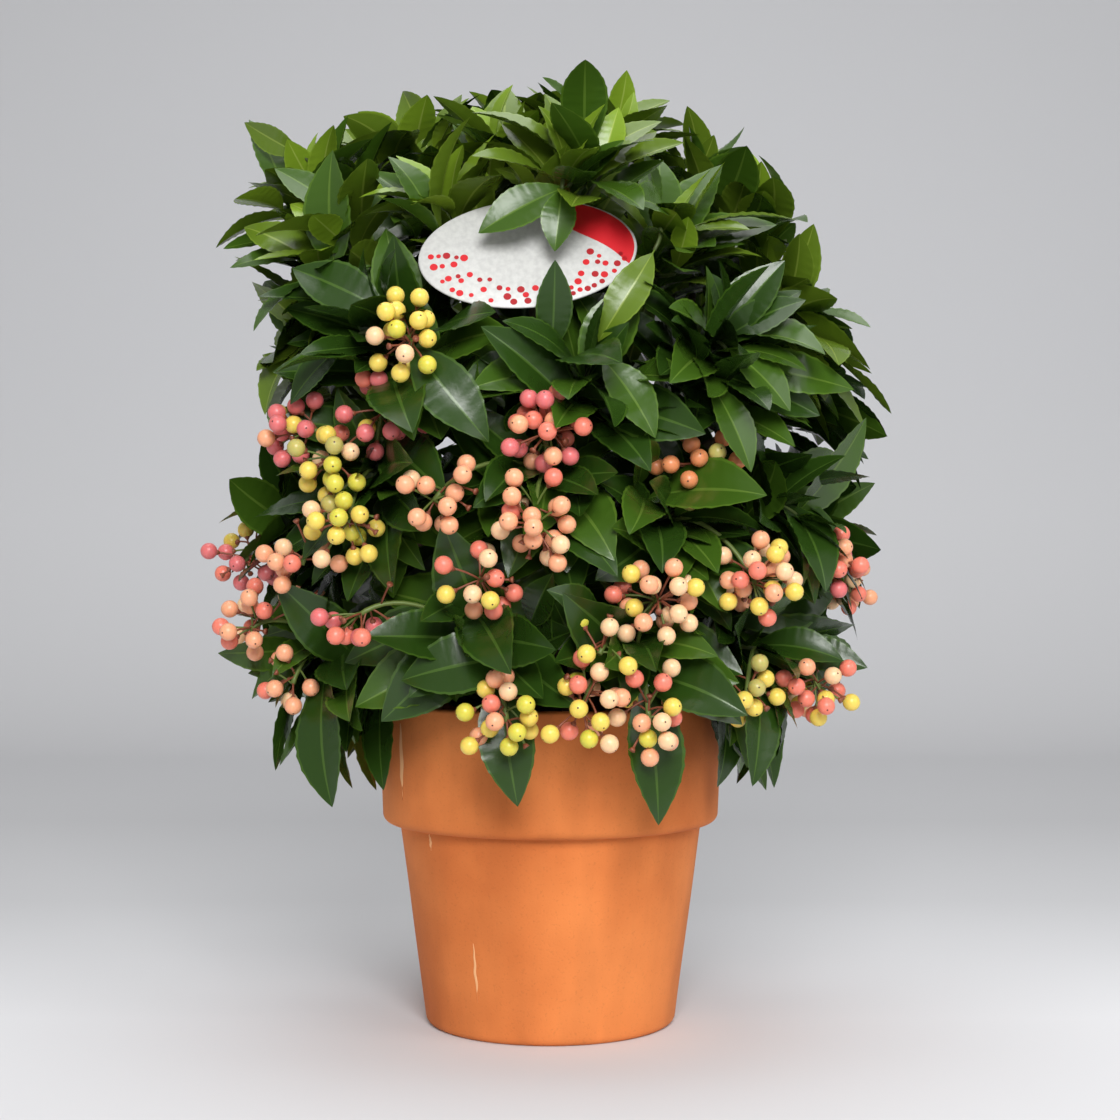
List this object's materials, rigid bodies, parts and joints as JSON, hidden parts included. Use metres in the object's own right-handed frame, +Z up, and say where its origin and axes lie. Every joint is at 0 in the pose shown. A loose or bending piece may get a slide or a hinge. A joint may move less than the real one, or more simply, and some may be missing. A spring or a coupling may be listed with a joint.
{
  "type": "potted ardisia plant",
  "caption": "Bushy evergreen berry shrub with leafy shoots and drooping clusters of round berries, growing in a rimmed clay pot with an oval plant label.",
  "frame": {"origin": "centre of the pot's flat underside", "axes": "+Z up along the pot's axis, the side with the plant label faces -Y, +X to its right"},
  "size_m": [0.2938, 0.2865, 0.4178],
  "materials": {
    "terracotta": "matte fired clay",
    "potting_soil": "loose dark soil",
    "bark": "rough thin bark",
    "foliage": "glossy leaves",
    "label_card": "satin card",
    "label_stake": "satin"
  },
  "bodies": {
    "root": {"pot": "terracotta", "soil": "potting_soil", "label_card": "label_card", "label_stake": "label_stake", "trunk": "bark", "stem_left": "bark", "stem_right": "bark", "stem_front": "bark", "stem_back": "bark", "bough_back_left": "bark", "bough_back_low_left": "bark", "bough_back_right": "bark", "bough_far_right": "bark", "bough_front_right": "bark", "bough_left_low": "bark", "bough_left_of_label": "bark", "bough_middle_left": "bark", "bough_right_front": "bark", "bough_right_low": "bark", "bough_right_side_low": "bark", "shoot_back_left": "foliage", "shoot_back_low": "foliage", "shoot_back_low_left": "foliage", "shoot_back_low_right": "foliage", "shoot_back_middle": "foliage", "shoot_back_right": "foliage", "shoot_back_top_left": "foliage", "shoot_back_top_right": "foliage", "shoot_centre_low": "foliage", "shoot_centre_right_low": "foliage", "shoot_far_right": "foliage", "shoot_foot_back": "foliage", "shoot_foot_back_left": "foliage", "shoot_foot_back_right": "foliage", "shoot_foot_front_left": "foliage", "shoot_foot_front_right": "foliage", "shoot_foot_left": "foliage", "shoot_foot_right": "foliage", "shoot_front_middle": "foliage", "shoot_front_right": "foliage", "shoot_left_front": "foliage", "shoot_left_low": "foliage", "shoot_left_of_label": "foliage", "shoot_left_side": "foliage", "shoot_left_side_low": "foliage", "shoot_middle_left": "foliage", "shoot_over_label": "foliage", "shoot_right_front": "foliage", "shoot_right_low": "foliage", "shoot_right_of_label": "foliage", "shoot_right_side_low": "foliage", "shoot_right_upper": "foliage", "shoot_top_centre": "foliage", "shoot_top_front": "foliage", "shoot_top_left": "foliage", "shoot_top_right": "foliage", "shoot_upper_left": "foliage", "shoot_upper_right": "foliage"}
  },
  "joints": []
}
